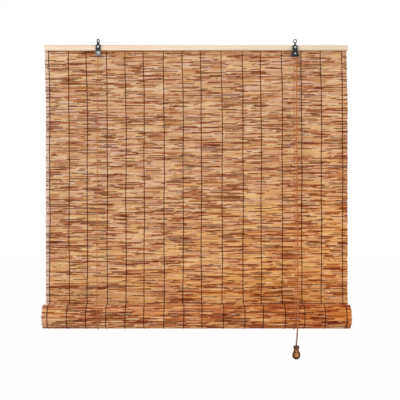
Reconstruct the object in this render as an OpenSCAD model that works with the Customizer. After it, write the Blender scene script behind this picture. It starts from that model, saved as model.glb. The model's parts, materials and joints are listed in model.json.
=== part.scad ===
// Reed roll-up blind, half lowered. A mat of reeds bound by warp threads hangs from a pair of
// head battens, and its lower end is wound into a roll. Two lift cords go down behind the mat,
// under the roll and up its front to a pulley hanger and a lock hanger on the head.
// Frame: origin at the middle of the rear batten's back face, +X to the right, +Z up, front at -Y.

/* [Blind] */
// Width of the mat and of both head battens
blind_w = 1000; // [900:5:1200]
// Drop from the middle of the battens to the axis of the roll
roll_drop = 881; // [600:1:1000]

/* [Head battens] */
// Height of both battens
batten_h = 18; // [16:0.5:24]
// Thickness of the front batten
front_batten_t = 10; // [9:0.5:14]
// Thickness of the rear batten
rear_batten_t = 8; // [8:0.5:12]
// Number of nails through the battens
nail_count = 7; // [4:1:9]

/* [Reed mat] */
// Diameter of one reed
reed_d = 4.8; // [4.4:0.1:5.2]
// Wanted distance from one reed to the next, less than the reed diameter
reed_pitch = 4.5; // [4.1:0.1:4.6]
// Number of see-through gaps between reeds
gap_count = 110; // [0:1:120]
// Height of a gap
gap_h = 0.9; // [0.5:0.1:1.2]
// Width of a warp thread
thread_w = 3; // [1.4:0.1:3.2]
// Height of a warp thread above the reeds
thread_t = 0.9; // [0.5:0.1:1]

/* [Roll] */
// Diameter of the roll across its outer turn
roll_d = 84; // [70:1:100]
// Diameter of the rod at the heart of the roll
rod_d = 18; // [14:1:24]
// Slack between one turn and the threads of the next
turn_slack = 0.3; // [0.2:0.1:0.6]

/* [Hangers] */
// Distance from the middle to the axis of the left hanger
left_hanger_x = 322; // [250:1:360]
// Distance from the middle to the axis of the lock hanger
lock_hanger_x = 325.6; // [250:0.1:360]
// Height of the left hanger's folded top above the middle of the battens
left_top_z = 9.2; // [8.8:0.1:10]
// Height of the lock hanger's folded top above the middle of the battens
lock_top_z = 6.6; // [6:0.1:9]
// Height of the hanger cases
case_h = 36.8; // [36:0.2:40]
// Width of the hanger cases
case_w = 15.6; // [15:0.2:18]
// Width of the lock case at its flared foot
lock_foot_w = 27; // [26.4:0.2:30]
// Thickness of the sheet that the cases are folded from
sheet_t = 1.2; // [1:0.1:1.4]
// Outer diameter of a hanging eye
eye_d = 13; // [12.6:0.2:15]
// Bore of a hanging eye
eye_bore = 8; // [7:0.2:8.4]
// Thickness of a hanging eye
eye_t = 2.6; // [2.2:0.1:2.8]

/* [Cords] */
// Diameter of the lift and pull cords
cord_d = 2.4; // [1.8:0.1:2.4]
// Radius of a sheave at the middle of its cord
sheave_r = 4; // [4:0.1:4.2]

/* [Tassel] */
// Height of the pull tassel
tassel_h = 43; // [40:1:60]
// Diameter of the tassel's bulb
tassel_d = 26.4; // [24:0.2:32]
// Diameter of the tassel's collar
collar_d = 19.6; // [17:0.2:22]
// Diameter of the tassel's neck
neck_d = 14.8; // [13:0.2:16]

/* [Hidden] */
$fn = 64;
cord_r = cord_d / 2;
clear = 0.15;
run_clear = 0.05;
// How far a cut runs past the face that it opens, and the length of a cut right through the head
past = 1;
through = 30;
corner_step = 22.5;

// Depths, from the wall at y = 0 towards the front
mat_back_y = -rear_batten_t;
mat_mid_y = mat_back_y - reed_d / 2;
mat_front_y = mat_back_y - reed_d;
batten_front_y = mat_front_y - front_batten_t;
batten_edge_r = 1.5;

// The flat reeds: their pitch is evened out so that they fill the drop
mat_top_z = batten_h / 2;
mat_rows = round((mat_top_z + roll_drop - reed_d) / reed_pitch);
row_pitch = (mat_top_z + roll_drop - reed_d) / mat_rows;
function row_z(k) = mat_top_z - reed_d / 2 - k * row_pitch;

// Gaps lie between reeds below the battens, one to a row, with a fixed random start and length
gap_first_row = ceil(batten_h / row_pitch) + 1;
gap_step = (mat_rows - 2 - gap_first_row) / max(gap_count, 1);
gap_most = 120;
gap_shortest = 70;
gap_longest = 230;
gap_len = rands(gap_shortest, gap_longest, gap_most, 11);
gap_at = rands(-0.5, 0.5, gap_most, 23);
gap_edge = 20;

// Warp threads: the first one's place and the spacings, as the tied mat has them
thread_first_x = -487;
thread_steps = [64, 60, 66, 62, 60, 66, 63, 60, 69, 69, 60, 70, 64, 65, 70];
thread_spread = blind_w / 1000;
function steps_to(i) = i == 0 ? 0 : steps_to(i - 1) + thread_steps[i - 1];
function thread_x(i) = (thread_first_x + steps_to(i)) * thread_spread;
front_thread_foot = 3;
back_thread_foot = 0.2;

// The roll: the mat's back face is outermost, and each turn lies inside the last
roll_r = roll_d / 2;
roll_y = mat_back_y - roll_r;
roll_z = -roll_drop;
rod_r = rod_d / 2;
turn_pitch = reed_d + thread_t + turn_slack;
turns = (roll_r - reed_d - rod_r - clear) / turn_pitch;
function outer_r(u) = roll_r - turn_pitch * u;
function on_turn(r, u) = [r * cos(360 * u), -r * sin(360 * u)];
turn_steps = 36;
band_steps = 38;
band_end = 0.95;
function band_u(i) = band_end * i / band_steps;
outer_reeds = round(2 * PI * outer_r(0.5) / row_pitch);
ridge_s = [-0.5, -0.3, -0.1, 0.1, 0.3];
inner_ridge_s = 0.3;
function ridge_drop(s) = reed_d / 2 - sqrt(pow(reed_d / 2, 2) - pow(s * row_pitch, 2));

// Cord lines: behind the mat, round the roll and in front of it
sling_clear = 0.5;
back_cord_y = mat_back_y + cord_r + sling_clear;
front_cord_y = roll_y - outer_r(0.5) - cord_r - sling_clear;
sling_y = (back_cord_y + front_cord_y) / 2;
sling_r = (back_cord_y - front_cord_y) / 2;
sling_past = 4.2;
cord_break = 0.1;
left_sling_x = -(left_hanger_x - 3);
right_sling_x = lock_hanger_x - 5.6;
function sling_end(x) = [x, sling_y - sling_r * cos(sling_past), roll_z + sling_r * sin(sling_past)];

// Hangers, each measured down from its folded top
left_gap = 6.4;
lock_gap = 8;
screw_down = 7.2;
axle_down = 27.4;
flare_down = 19;
fold_r = 2.2;
left_foot_r = 4.5;
lock_foot_r = 2.5;
left_sheave_x = -left_hanger_x + 2;
left_sheave_y = batten_front_y - sheet_t - left_gap / 2;
left_sheave_z = left_top_z - axle_down;
lock_sheave_y = batten_front_y - sheet_t - lock_gap / 2;
lock_sheave_z = lock_top_z - axle_down;
groove_off = 1.7;
rear_groove_y = lock_sheave_y + groove_off;
front_groove_y = lock_sheave_y - groove_off;
sheave_rim = sheave_r + 1.4;
axle_r = 1.5;
axle_head_r = 2.8;
axle_head_t = 0.9;
screw_r = 1.75;
screw_head_r = 3.4;
screw_head_t = 1.6;
screw_in_batten = 7.5;
screw_tip_room = 0.5;
screw_slot_w = 0.9;
screw_slot_deep = 0.8;
stem_r = 1.5;
stem_foot_r = 2.4;
stem_foot_t = 1.4;
eye_neck_r = 2.8;
eye_neck_off = 2.2;
eye_neck_short = 4.8;
wheel_side_room = 0.4;
groove_mouth = 1.6;
groove_deep = 2;
left_eye_up = 12.2;
lock_eye_up = 13.8;
left_eye_turn = 55;

// The lock's cam: it stands off the pull cords on an eccentric pin
cam_r = 3.55;
cam_x = lock_hanger_x + sheave_r + cord_r + clear + cam_r;
cam_z = lock_sheave_z - 3.6;
cam_pin_r = 1.25;
cam_pin_x = cam_x + 0.8;
cam_pin_z = cam_z - 0.8;
cam_pin_head_r = 2;

// Screw eyes under the rear batten, to which the lift cords are tied
anchor_y = mat_back_y / 2;
anchor_wire_r = 0.8;
anchor_ring_r = 3.2;
anchor_shank = 8;
anchor_z = -batten_h / 2 - anchor_ring_r - anchor_wire_r;
tie_r = anchor_wire_r + cord_r + 0.4;
tie_z = anchor_z - anchor_ring_r - 0.35;
tie_knot_r = 2.6;
tie_knot_down = 3.8;
tie_knot_z = tie_z - tie_knot_down;
// The loop's ends lie this far below its middle, where they meet the knot
tie_past = asin((pow(tie_r, 2) + pow(tie_knot_down, 2) - pow(tie_knot_r + cord_r + clear, 2))
    / (2 * tie_r * tie_knot_down));

// Nails
nail_r = 0.8;
nail_head_r = 1.6;
nail_head_t = 0.8;
nail_len = rear_batten_t + reed_d + 7;
nail_edge = 40;
function nail_x(i) = -blind_w / 2 + nail_edge + i * (blind_w - 2 * nail_edge) / (nail_count - 1);

// Pull tassel and the knot that carries it
tassel_x = 323;
tassel_y = -90.5;
tassel_top_z = -971;
tassel_bore_r = 2.7;
tassel_cup_r = 5.5;
tassel_cup_h = 15;
knot_r = 4.5;
knot_z = tassel_top_z - tassel_h + tassel_cup_h - sqrt(pow(knot_r, 2) - pow(tassel_bore_r, 2)) - 0.05;
tassel_r_max = tassel_d / 2;
tassel_keys = [[0, 0.82 * collar_d / 2], [0.06, collar_d / 2], [0.14, collar_d / 2], [0.28, neck_d / 2],
    [0.41, 0.69 * tassel_r_max], [0.51, 0.87 * tassel_r_max], [0.6, 0.97 * tassel_r_max], [0.7, tassel_r_max],
    [0.8, 0.97 * tassel_r_max], [0.89, 0.82 * tassel_r_max], [0.96, 0.62 * tassel_r_max],
    [1, 0.47 * tassel_r_max]];
tassel_steps = 30;

// Routes of the two pull tails: from the lock to the roll's front, then down to the tassel
left_tail_upper_route = [[329.6, -26.32, -21.1], [329.5, -28.2, -45], [328.8, -42, -230],
    [328, -58, -445], [327.2, -74, -660], [326.6, -87.2, -835], [326.4, -90.5, -878]];
left_tail_lower_route = [[326.4, -90.5, -878.2], [326, -90.5, -900], [325, -90.5, -925],
    [323.6, -90.5, -950], [322, -90.5, -968], [321.75, -90.5, -980], [321.75, -90.5, -998]];
right_tail_upper_route = [[329.6, -29.72, -20.9], [329.6, -31.5, -45], [329.7, -44.8, -230],
    [329.8, -59.9, -445], [329.6, -75, -660], [329.1, -87.4, -835], [328.9, -90.5, -878]];
right_tail_lower_route = [[328.9, -90.5, -878.2], [328.5, -90.5, -900], [327.5, -90.5, -925],
    [326.1, -90.5, -950], [324.5, -90.5, -968], [324.25, -90.5, -980], [324.25, -90.5, -998]];
tail_sides = 8;
tail_turn = 22.5;

THREADS = [for (i = [0:15]) str("warp_thread_", i < 9 ? "0" : "", i + 1)];

reed_tan = [0.80, 0.57, 0.36];
roll_tan = [0.74, 0.44, 0.26];
batten_cream = [0.93, 0.85, 0.73];
thread_brown = [0.27, 0.15, 0.08];
cord_orange = [0.80, 0.47, 0.27];
steel_black = [0.13, 0.13, 0.14];
steel_bright = [0.72, 0.72, 0.72];
tassel_brown = [0.45, 0.25, 0.12];

// Shapes that several sub-parts share

// A section drawn in the Y-Z plane, run along X from the middle
module along_x(len) {
    rotate([90, 0, 90])
        linear_extrude(height = len, center = true)
            children();
}

// A shape drawn upright in the X-Z plane, run back from y = 0 towards -Y
module along_y(len) {
    rotate([90, 0, 0])
        linear_extrude(height = len)
            children();
}

// A round bar from one point to another
module bar(p, q, r) {
    d = q - p;
    len = norm(d);
    translate(p)
        rotate([0, acos(d[2] / len), atan2(d[1], d[0])])
            cylinder(r = r, h = len);
}

// A round pin along Y, from its rear end towards the front
module pin_y(x, y, z, r, len) {
    translate([x, y, z])
        rotate([90, 0, 0])
            cylinder(r = r, h = len);
}

// Part of a ring round the X axis, from the angle a over the angle sweep (0 is +Y, 90 is +Z)
module ring_x(ring_r, wire_r, a, sweep) {
    rotate([90, 0, 90])
        rotate([0, 0, a])
            rotate_extrude(angle = sweep)
                translate([ring_r, 0])
                    circle(r = wire_r);
}

// Part of a ring round the Y axis, from the angle a over the angle sweep (0 is +X, 90 is +Z)
module ring_y(ring_r, wire_r, a, sweep) {
    rotate([90, 0, 0])
        rotate([0, 0, a])
            rotate_extrude(angle = sweep)
                translate([ring_r, 0])
                    circle(r = wire_r);
}

// Points of a round corner with its middle at c
function corner(c, r, from) =
    [for (a = [0:corner_step:90]) [c[0] + r * cos(from + a), c[1] + r * sin(from + a)]];

// The left cord's turn over its sheave, its run to the lock and its turn down there
function sheave_turn(x, y, z, from) =
    [for (a = [0:corner_step:90]) [x + sheave_r * cos(from - a), y, z + sheave_r * sin(from - a)]];
left_cross_route = concat(
    sheave_turn(left_sheave_x, left_sheave_y, left_sheave_z, 180),
    sheave_turn(lock_hanger_x, rear_groove_y, lock_sheave_z, 90));

// A free cord: one closed skin of rings along the route
function ring_at(p, t) =
    let (u = cross([0, 1, 0], t) / norm(cross([0, 1, 0], t)), v = cross(t, u))
    [for (s = [0:tail_sides - 1])
        p + cord_r * (cos(360 * s / tail_sides + tail_turn) * u + sin(360 * s / tail_sides + tail_turn) * v)];
function route_dir(route, i) =
    let (d = route[min(i + 1, len(route) - 1)] - route[max(i - 1, 0)]) d / norm(d);
module cord_tube(route) {
    rings = len(route);
    skin = [for (i = [0:rings - 1]) each ring_at(route[i], route_dir(route, i))];
    sides = [for (i = [0:rings - 2]) for (s = [0:tail_sides - 1])
        let (n = (s + 1) % tail_sides)
        [i * tail_sides + s, i * tail_sides + n, (i + 1) * tail_sides + n, (i + 1) * tail_sides + s]];
    start_cap = [[for (s = [tail_sides - 1:-1:0]) s]];
    end_cap = [[for (s = [0:tail_sides - 1]) (rings - 1) * tail_sides + s]];
    color(cord_orange)
        polyhedron(points = skin, faces = concat(sides, start_cap, end_cap));
}

// Head battens and nails

module batten_section(depth, edge_r) {
    h = batten_h / 2;
    polygon(concat(
        [[0, -h], [0, h]],
        corner([-depth + edge_r, h - edge_r], edge_r, 90),
        corner([-depth + edge_r, -h + edge_r], edge_r, 180)));
}

module nail_row(r, len, from_y) {
    for (i = [0:nail_count - 1])
        pin_y(nail_x(i), from_y, 0, r, len);
}

module front_batten() {
    color(batten_cream)
        difference() {
            translate([0, mat_front_y, 0])
                along_x(blind_w)
                    batten_section(front_batten_t, batten_edge_r);
            nail_row(nail_r + run_clear, nail_len + run_clear, 0);
            for (s = [[-left_hanger_x, left_top_z], [lock_hanger_x, lock_top_z]])
                pin_y(s[0], batten_front_y + screw_in_batten + screw_tip_room, s[1] - screw_down,
                    screw_r + run_clear, front_batten_t);
        }
}

module rear_batten() {
    color(batten_cream)
        difference() {
            along_x(blind_w)
                translate([mat_back_y, -batten_h / 2])
                    square([rear_batten_t, batten_h]);
            nail_row(nail_r + run_clear, through, past);
            nail_row(nail_head_r + run_clear, past + nail_head_t + run_clear, past);
            for (x = [left_sling_x, right_sling_x])
                translate([x, anchor_y, -batten_h / 2 - past])
                    cylinder(r = anchor_wire_r + run_clear, h = anchor_shank + screw_tip_room + past);
        }
}

module batten_nails() {
    color(steel_bright) {
        nail_row(nail_r, nail_len, 0);
        nail_row(nail_head_r, nail_head_t, 0);
    }
}

// Reed mat, its threads and its roll

module reed_mat() {
    color(reed_tan)
        difference() {
            along_x(blind_w)
                for (k = [0:mat_rows])
                    translate([mat_mid_y, row_z(k)])
                        circle(d = reed_d);
            for (i = [0:1:gap_count - 1]) {
                row = gap_first_row + floor(i * gap_step);
                free_w = blind_w - 2 * gap_edge - gap_len[i];
                translate([gap_at[i] * free_w, mat_mid_y, (row_z(row) + row_z(row + 1)) / 2])
                    cube([gap_len[i], 2 * reed_d, gap_h], center = true);
            }
            nail_row(nail_r + run_clear, through, 0);
        }
}

// One strand of a warp thread: a low round-backed bar that lies on the reeds
module strand(x, y, side, foot) {
    crown_r = (pow(thread_w / 2, 2) + pow(thread_t, 2)) / (2 * thread_t);
    translate([x, y, roll_z + foot])
        linear_extrude(height = roll_drop - foot - batten_h / 2)
            intersection() {
                translate([0, side * (thread_t - crown_r)])
                    circle(r = crown_r);
                translate([-thread_w, side > 0 ? 0 : -thread_t * 2])
                    square([2 * thread_w, 2 * thread_t]);
            }
}

module warp_thread(i) {
    color(thread_brown) {
        strand(thread_x(i), mat_front_y, -1, front_thread_foot);
        strand(thread_x(i), mat_back_y, 1, back_thread_foot);
    }
}

module turn_section() {
    ridged = [for (k = [0:outer_reeds - 1]) for (s = ridge_s)
        let (u = (k + 0.5 + s) / outer_reeds)
        on_turn(outer_r(u) - ridge_drop(s), u)];
    plain = [for (u = [1:1 / turn_steps:turns]) on_turn(outer_r(u) - ridge_drop(inner_ridge_s), u)];
    inside = [for (i = [0:1:floor(turns * turn_steps)])
        let (u = turns - i / turn_steps)
        on_turn(outer_r(u) - reed_d, u)];
    polygon(concat(ridged, plain, inside, [on_turn(outer_r(0) - reed_d, 0)]));
}

module mat_roll() {
    color(roll_tan)
        translate([0, roll_y, roll_z])
            along_x(blind_w)
                turn_section();
}

module thread_turn_section() {
    polygon(concat(
        [for (i = [0:band_steps]) on_turn(outer_r(band_u(i)) + clear, band_u(i))],
        [for (i = [band_steps:-1:0]) on_turn(outer_r(band_u(i)) + clear + thread_t, band_u(i))]));
}

module roll_threads() {
    color(thread_brown)
        for (i = [0:15])
            translate([thread_x(i), roll_y, roll_z])
                along_x(thread_w)
                    thread_turn_section();
}

module bottom_rod() {
    color(batten_cream)
        translate([-blind_w / 2, roll_y, roll_z])
            rotate([0, 90, 0])
                cylinder(r = rod_r, h = blind_w);
}

// Hangers

// The folded sheet seen from the side: two walls joined by a rounded fold at the top
module fold_section(gap) {
    depth = gap + 2 * sheet_t;
    inner_r = fold_r - sheet_t;
    polygon(concat(
        corner([-fold_r, -fold_r], fold_r, 0),
        corner([-depth + fold_r, -fold_r], fold_r, 90),
        [[-depth, -case_h], [-depth + sheet_t, -case_h]],
        [for (p = [4:-1:0]) corner([-depth + fold_r, -fold_r], inner_r, 90)[p]],
        [for (p = [4:-1:0]) corner([-fold_r, -fold_r], inner_r, 0)[p]],
        [[-sheet_t, -case_h], [0, -case_h]]));
}

// The case seen from the front: straight sides that spread to the foot, and round foot corners
module case_front(foot_w, foot_r) {
    w = case_w / 2;
    f = foot_w / 2;
    polygon(concat(
        [[w, past], [-w, past], [-w, -flare_down]],
        corner([-f + foot_r, -case_h + foot_r], foot_r, 180),
        corner([f - foot_r, -case_h + foot_r], foot_r, 270),
        [[w, -flare_down]]));
}

module folded_case(x, top_z, gap, foot_w, foot_r, axle_x) {
    depth = gap + 2 * sheet_t;
    difference() {
        translate([x, batten_front_y, top_z])
            intersection() {
                along_x(foot_w + 2 * past)
                    fold_section(gap);
                translate([0, past, 0])
                    along_y(depth + 2 * past)
                        case_front(foot_w, foot_r);
            }
        pin_y(x, batten_front_y + past, top_z - screw_down, screw_r + run_clear, depth + 2 * past);
        pin_y(axle_x, batten_front_y + past, top_z - axle_down, axle_r + run_clear, depth + 2 * past);
        translate([x, batten_front_y - depth / 2, top_z - sheet_t - past])
            cylinder(r = stem_r + run_clear, h = sheet_t + 2 * past);
    }
}

module left_case() {
    color(steel_black)
        folded_case(-left_hanger_x, left_top_z, left_gap, case_w, left_foot_r, left_sheave_x);
}

module lock_case() {
    color(steel_black)
        difference() {
            folded_case(lock_hanger_x, lock_top_z, lock_gap, lock_foot_w, lock_foot_r, lock_hanger_x);
            pin_y(cam_pin_x, batten_front_y + past, cam_pin_z, cam_pin_r + run_clear, through);
        }
}

// A ring on a flattened neck, whose stem turns in the case's folded top
module swivel_eye(x, y, top_z, eye_up, turn) {
    color(steel_black)
        translate([x, y, top_z])
            rotate([0, 0, turn])
                difference() {
                    union() {
                        translate([0, eye_t / 2, eye_up])
                            rotate([90, 0, 0])
                                cylinder(d = eye_d, h = eye_t);
                        translate([0, 0, -sheet_t - past])
                            cylinder(r = stem_r, h = sheet_t + 2 * past);
                        translate([0, 0, run_clear])
                            linear_extrude(eye_up - eye_neck_short) {
                                square([2 * eye_neck_r, 2 * eye_neck_off], center = true);
                                for (side = [-1, 1])
                                    translate([0, side * eye_neck_off])
                                        circle(r = eye_neck_r);
                            }
                        translate([0, 0, -sheet_t - run_clear - stem_foot_t])
                            cylinder(r = stem_foot_r, h = stem_foot_t);
                    }
                    pin_y(0, eye_t, eye_up, eye_bore / 2, 2 * eye_t);
                }
}

module left_eye() {
    swivel_eye(-left_hanger_x, left_sheave_y, left_top_z, left_eye_up, left_eye_turn);
}

module lock_eye() {
    swivel_eye(lock_hanger_x, lock_sheave_y, lock_top_z, lock_eye_up, 0);
}

// A grooved wheel on the Y axis, with a groove at each of the given offsets
module sheave(width, grooves) {
    groove_r = cord_r + clear;
    rotate([90, 0, 0])
        rotate_extrude()
            difference() {
                translate([axle_r + run_clear, -width / 2])
                    square([sheave_rim - axle_r - run_clear, width]);
                for (g = grooves)
                    translate([sheave_r, g]) {
                        circle(r = groove_r);
                        polygon([[0, -groove_r], [groove_deep, -groove_mouth],
                            [groove_deep, groove_mouth], [0, groove_r]]);
                    }
            }
}

module left_sheave() {
    color(steel_bright)
        translate([left_sheave_x, left_sheave_y, left_sheave_z])
            sheave(left_gap - 2 * wheel_side_room, [0]);
}

module lock_sheave() {
    color(steel_bright)
        translate([lock_hanger_x, lock_sheave_y, lock_sheave_z])
            sheave(lock_gap - 2 * wheel_side_room, [groove_off, -groove_off]);
}

// A rivet along Y through both walls of a case, with a head on each side
module rivet(x, z, r, head_r, gap, finish) {
    depth = gap + 2 * sheet_t;
    color(finish) {
        pin_y(x, batten_front_y + axle_head_t / 2, z, r, depth + axle_head_t);
        pin_y(x, batten_front_y + axle_head_t, z, head_r, axle_head_t);
        pin_y(x, batten_front_y - depth, z, head_r, axle_head_t);
    }
}

module left_axle() {
    rivet(left_sheave_x, left_sheave_z, axle_r, axle_head_r, left_gap, steel_bright);
}

module lock_axle() {
    rivet(lock_hanger_x, lock_sheave_z, axle_r, axle_head_r, lock_gap, steel_bright);
}

module cam_pin() {
    rivet(cam_pin_x, cam_pin_z, cam_pin_r, cam_pin_head_r, lock_gap, steel_black);
}

module lock_cam() {
    width = lock_gap - 2 * wheel_side_room;
    color(steel_bright)
        difference() {
            pin_y(cam_x, lock_sheave_y + width / 2, cam_z, cam_r, width);
            pin_y(cam_pin_x, lock_sheave_y + width, cam_pin_z, cam_pin_r + run_clear, 2 * width);
        }
}

module case_screw(x, z, gap) {
    face_y = batten_front_y - gap - 2 * sheet_t;
    shank = screw_in_batten + gap + 2 * sheet_t + screw_head_t / 2;
    color(steel_bright)
        difference() {
            union() {
                pin_y(x, batten_front_y + screw_in_batten, z, screw_r, shank);
                pin_y(x, face_y, z, screw_head_r, screw_head_t);
            }
            translate([x, face_y - screw_head_t, z])
                cube([screw_slot_w, 2 * screw_slot_deep, 3 * screw_head_r], center = true);
        }
}

module left_screw() {
    case_screw(-left_hanger_x, left_top_z - screw_down, left_gap);
}

module lock_screw() {
    case_screw(lock_hanger_x, lock_top_z - screw_down, lock_gap);
}

// Lift cords

module cord_anchor(x) {
    color(steel_bright)
        translate([x, anchor_y, anchor_z]) {
            ring_y(anchor_ring_r, anchor_wire_r, 0, 360);
            translate([0, 0, anchor_ring_r])
                cylinder(r = anchor_wire_r, h = anchor_wire_r + anchor_shank);
        }
}

// The cord's knot and its loop through the screw eye
module cord_tie(x) {
    color(cord_orange) {
        translate([x, anchor_y, tie_knot_z])
            sphere(r = tie_knot_r);
        translate([x, anchor_y, tie_z])
            ring_x(tie_r, cord_r, -tie_past, 180 + 2 * tie_past);
    }
}

// The run behind the mat, up to the knot
module cord_back(x) {
    color(cord_orange)
        bar([x, back_cord_y, roll_z], [x, anchor_y, tie_knot_z - tie_knot_r - cord_break], cord_r);
}

// The sling under the roll
module cord_sling(x) {
    color(cord_orange)
        translate([x, sling_y, roll_z])
            ring_x(sling_r, cord_r, -180 - sling_past, 180 + sling_past);
}

module left_cord_front() {
    color(cord_orange)
        bar(sling_end(left_sling_x) + [0, 0, cord_break],
            [left_sheave_x - sheave_r, left_sheave_y, left_sheave_z - 2.5 * cord_break], cord_r);
}

module right_cord_front() {
    color(cord_orange)
        bar(sling_end(right_sling_x) + [0, 0, cord_break],
            [lock_hanger_x - sheave_r, front_groove_y, lock_sheave_z - cord_break], cord_r);
}

module right_cord_turn() {
    color(cord_orange)
        translate([lock_hanger_x, front_groove_y, lock_sheave_z])
            ring_y(sheave_r, cord_r, 0, 180);
}

// Pull tassel

function ease(t) = (1 - cos(180 * t)) / 2;
function tassel_r(t) =
    let (i = max([for (k = [0:len(tassel_keys) - 2]) if (t >= tassel_keys[k][0]) k]))
    let (a = tassel_keys[i], b = tassel_keys[i + 1])
    a[1] + (b[1] - a[1]) * ease((t - a[0]) / (b[0] - a[0]));

module pull_tassel() {
    color(tassel_brown)
        translate([tassel_x, tassel_y, tassel_top_z])
            difference() {
                rotate_extrude()
                    polygon(concat(
                        [[0, -tassel_h], [0, 0]],
                        [for (i = [0:tassel_steps])
                            [tassel_r(i / tassel_steps), -tassel_h * i / tassel_steps]]));
                translate([0, 0, -tassel_h])
                    cylinder(r = tassel_bore_r, h = tassel_h + 1);
                translate([0, 0, -tassel_h - 1])
                    cylinder(r = tassel_cup_r, h = tassel_cup_h + 1);
            }
}

module tassel_knot() {
    color(cord_orange)
        translate([tassel_x, tassel_y, knot_z])
            sphere(r = knot_r);
}

front_batten();
rear_batten();
batten_nails();
reed_mat();
for (i = [0:15])
    warp_thread(i);
mat_roll();
roll_threads();
bottom_rod();
left_case();
left_eye();
left_sheave();
left_axle();
left_screw();
lock_case();
lock_eye();
lock_sheave();
lock_axle();
lock_screw();
lock_cam();
cam_pin();
cord_anchor(left_sling_x);  // left_cord_anchor
cord_tie(left_sling_x);  // left_cord_tie
cord_anchor(right_sling_x);  // right_cord_anchor
cord_tie(right_sling_x);  // right_cord_tie
cord_back(left_sling_x);  // left_cord_back
cord_sling(left_sling_x);  // left_cord_sling
left_cord_front();
cord_tube(left_cross_route);  // left_cord_cross
cord_back(right_sling_x);  // right_cord_back
cord_sling(right_sling_x);  // right_cord_sling
right_cord_front();
right_cord_turn();
cord_tube(left_tail_upper_route);  // left_tail_upper
cord_tube(left_tail_lower_route);  // left_tail_lower
cord_tube(right_tail_upper_route);  // right_tail_upper
cord_tube(right_tail_lower_route);  // right_tail_lower
pull_tassel();
tassel_knot();
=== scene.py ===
import json
import math
import random

import bpy
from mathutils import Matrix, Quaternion, Vector


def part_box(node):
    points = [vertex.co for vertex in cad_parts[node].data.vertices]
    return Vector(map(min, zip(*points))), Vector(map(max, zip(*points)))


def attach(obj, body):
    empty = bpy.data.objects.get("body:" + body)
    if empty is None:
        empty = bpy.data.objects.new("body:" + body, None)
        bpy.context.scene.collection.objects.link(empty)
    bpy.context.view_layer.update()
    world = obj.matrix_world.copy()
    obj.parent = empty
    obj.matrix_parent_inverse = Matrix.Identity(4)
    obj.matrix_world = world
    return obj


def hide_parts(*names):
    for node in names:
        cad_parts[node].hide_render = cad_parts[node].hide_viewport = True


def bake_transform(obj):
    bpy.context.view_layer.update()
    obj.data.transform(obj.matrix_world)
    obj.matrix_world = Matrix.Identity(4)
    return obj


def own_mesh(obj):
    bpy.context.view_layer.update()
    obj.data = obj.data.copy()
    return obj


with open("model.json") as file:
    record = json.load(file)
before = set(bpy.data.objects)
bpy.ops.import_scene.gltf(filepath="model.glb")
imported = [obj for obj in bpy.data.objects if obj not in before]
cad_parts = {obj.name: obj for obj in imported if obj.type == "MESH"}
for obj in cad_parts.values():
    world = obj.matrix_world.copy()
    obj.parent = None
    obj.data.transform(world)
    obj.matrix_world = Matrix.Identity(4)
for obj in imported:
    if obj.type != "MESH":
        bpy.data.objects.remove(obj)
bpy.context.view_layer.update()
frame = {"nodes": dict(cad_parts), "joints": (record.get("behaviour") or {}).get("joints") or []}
scene = bpy.context.scene
scene.view_settings.view_transform = "Standard"


# Camera, square on to the blind
cameraView = {"place": (0.013, -2.915, -0.502), "lens": 79.0, "sensor": 36.0}


def placeCamera(view):
    lensData = bpy.data.cameras.new("frontCamera")
    lensData.lens = view["lens"]
    lensData.sensor_width = view["sensor"]
    camera = bpy.data.objects.new("frontCamera", lensData)
    camera.location = view["place"]
    camera.rotation_euler = (math.radians(90), 0, 0)
    scene.collection.objects.link(camera)
    scene.camera = camera


placeCamera(cameraView)


# Small helpers for node trees, shader and geometry alike
def feed(tree, socket, value):
    if isinstance(value, bpy.types.NodeSocket):
        tree.links.new(value, socket)
    else:
        socket.default_value = value


def put(tree, kind, inputs=None, **settings):
    node = tree.nodes.new(kind)
    for name, value in settings.items():
        setattr(node, name, value)
    for name, value in (inputs or {}).items():
        feed(tree, node.inputs[name], value)
    return node


def sums(tree, operation, *values):
    node = put(tree, "ShaderNodeMath", operation=operation)
    for socket, value in zip(node.inputs, values):
        feed(tree, socket, value)
    return node.outputs[0]


def plus(tree, first, second):
    return sums(tree, "ADD", first, second)


def minus(tree, first, second):
    return sums(tree, "SUBTRACT", first, second)


def times(tree, first, second):
    return sums(tree, "MULTIPLY", first, second)


def timesPlus(tree, first, second, added):
    return sums(tree, "MULTIPLY_ADD", first, second, added)


def absolute(tree, value):
    return sums(tree, "ABSOLUTE", value)


def triple(tree, x=0.0, y=0.0, z=0.0):
    return put(tree, "ShaderNodeCombineXYZ", {"X": x, "Y": y, "Z": z}).outputs[0]


def axesOf(tree, vector):
    return put(tree, "ShaderNodeSeparateXYZ", {"Vector": vector}).outputs


def stretch(tree, axes, rates):
    return triple(tree, *(times(tree, axis, rate) for axis, rate in zip(axes, rates)))


def noise(tree, vector, scale=1.0, detail=2.0, roughness=0.5, output=0):
    inputs = {"Vector": vector, "Scale": scale, "Detail": detail, "Roughness": roughness}
    return put(tree, "ShaderNodeTexNoise", inputs).outputs[output]    # 0 is its value, 1 its colour


def remap(tree, value, low, high, newLow=0.0, newHigh=1.0):
    inputs = {"Value": value, "From Min": low, "From Max": high, "To Min": newLow, "To Max": newHigh}
    return put(tree, "ShaderNodeMapRange", inputs).outputs[0]


noiseSpan = (0.3, 0.7)    # where most values of a noise lie


def overNoise(tree, value, newLow, newHigh):
    return remap(tree, value, *noiseSpan, newLow, newHigh)


# Shader helpers: colours are written as they should look on screen, 0 to 255
def paint(red, green, blue):
    def linear(value):
        value /= 255
        return value / 12.92 if value <= 0.04045 else ((value + 0.055) / 1.055) ** 2.4
    return (linear(red), linear(green), linear(blue), 1.0)


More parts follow.
